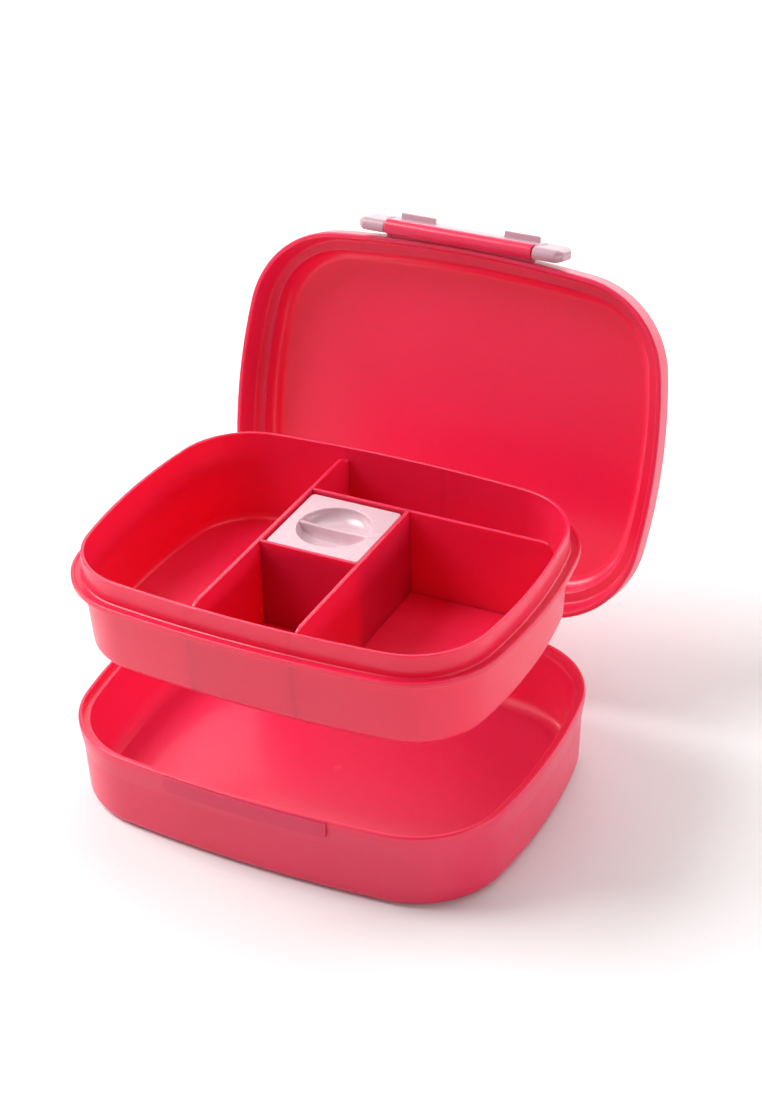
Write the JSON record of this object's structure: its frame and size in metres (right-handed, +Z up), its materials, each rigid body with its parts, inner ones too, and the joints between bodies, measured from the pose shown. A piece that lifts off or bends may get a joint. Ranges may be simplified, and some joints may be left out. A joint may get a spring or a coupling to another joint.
{
  "type": "bento lunch box",
  "caption": "Bowed oval lunch box standing open, with a hinged domed lid and front clip, a lift-out divided tray and a small square sauce pot with a lid.",
  "frame": {"origin": "middle of the box's underside, on the table", "axes": "+X along the long side, to the user's right; -Y the front, where the clip closes; +Z up"},
  "size_m": [0.2, 0.2211, 0.1934],
  "materials": {
    "coral_plastic": "semi-gloss moulded polypropylene",
    "coral_tray_plastic": "semi-gloss moulded polypropylene",
    "pink_plastic": "satin moulded polypropylene",
    "pin_steel": "drawn wire"
  },
  "bodies": {
    "lower_box": {"lower_box": "coral_plastic", "hinge_pin": "pin_steel"},
    "compartment_tray": {"compartment_tray": "coral_tray_plastic"},
    "sauce_pot": {"sauce_pot": "pink_plastic"},
    "sauce_pot_lid": {"sauce_pot_lid": "pink_plastic"},
    "lid": {"lid": "coral_plastic"},
    "front_clip": {"front_clip": "pink_plastic"}
  },
  "joints": [
    {"name": "lid_hinge", "type": "hinge", "parent": "lower_box", "child": "lid", "pos_m": [0, 0.0812, 0.0342], "axis": [-1, 0, 0], "range_deg": [-106, 0]},
    {"name": "tray_lift", "type": "slide", "parent": "lower_box", "child": "compartment_tray", "axis": [0, 0, 1], "range_m": [-0.069, 0]},
    {"name": "pot_lift", "type": "slide", "parent": "compartment_tray", "child": "sauce_pot", "axis": [0, 0, 1], "range_m": [0, 0.006]},
    {"name": "pot_lid_lift", "type": "slide", "parent": "sauce_pot", "child": "sauce_pot_lid", "axis": [0, 0, 1], "range_m": [0, 0.006]},
    {"name": "front_clip_hinge", "type": "hinge", "parent": "lid", "child": "front_clip", "pos_m": [0, 0.12809, 0.19012], "axis": [-1, 0, 0], "range_deg": [-180, 0]}
  ],
  "couplings": [
    {"joint": "tray_lift", "follows": "lid_hinge", "m_per_rad": 0.037296}
  ]
}
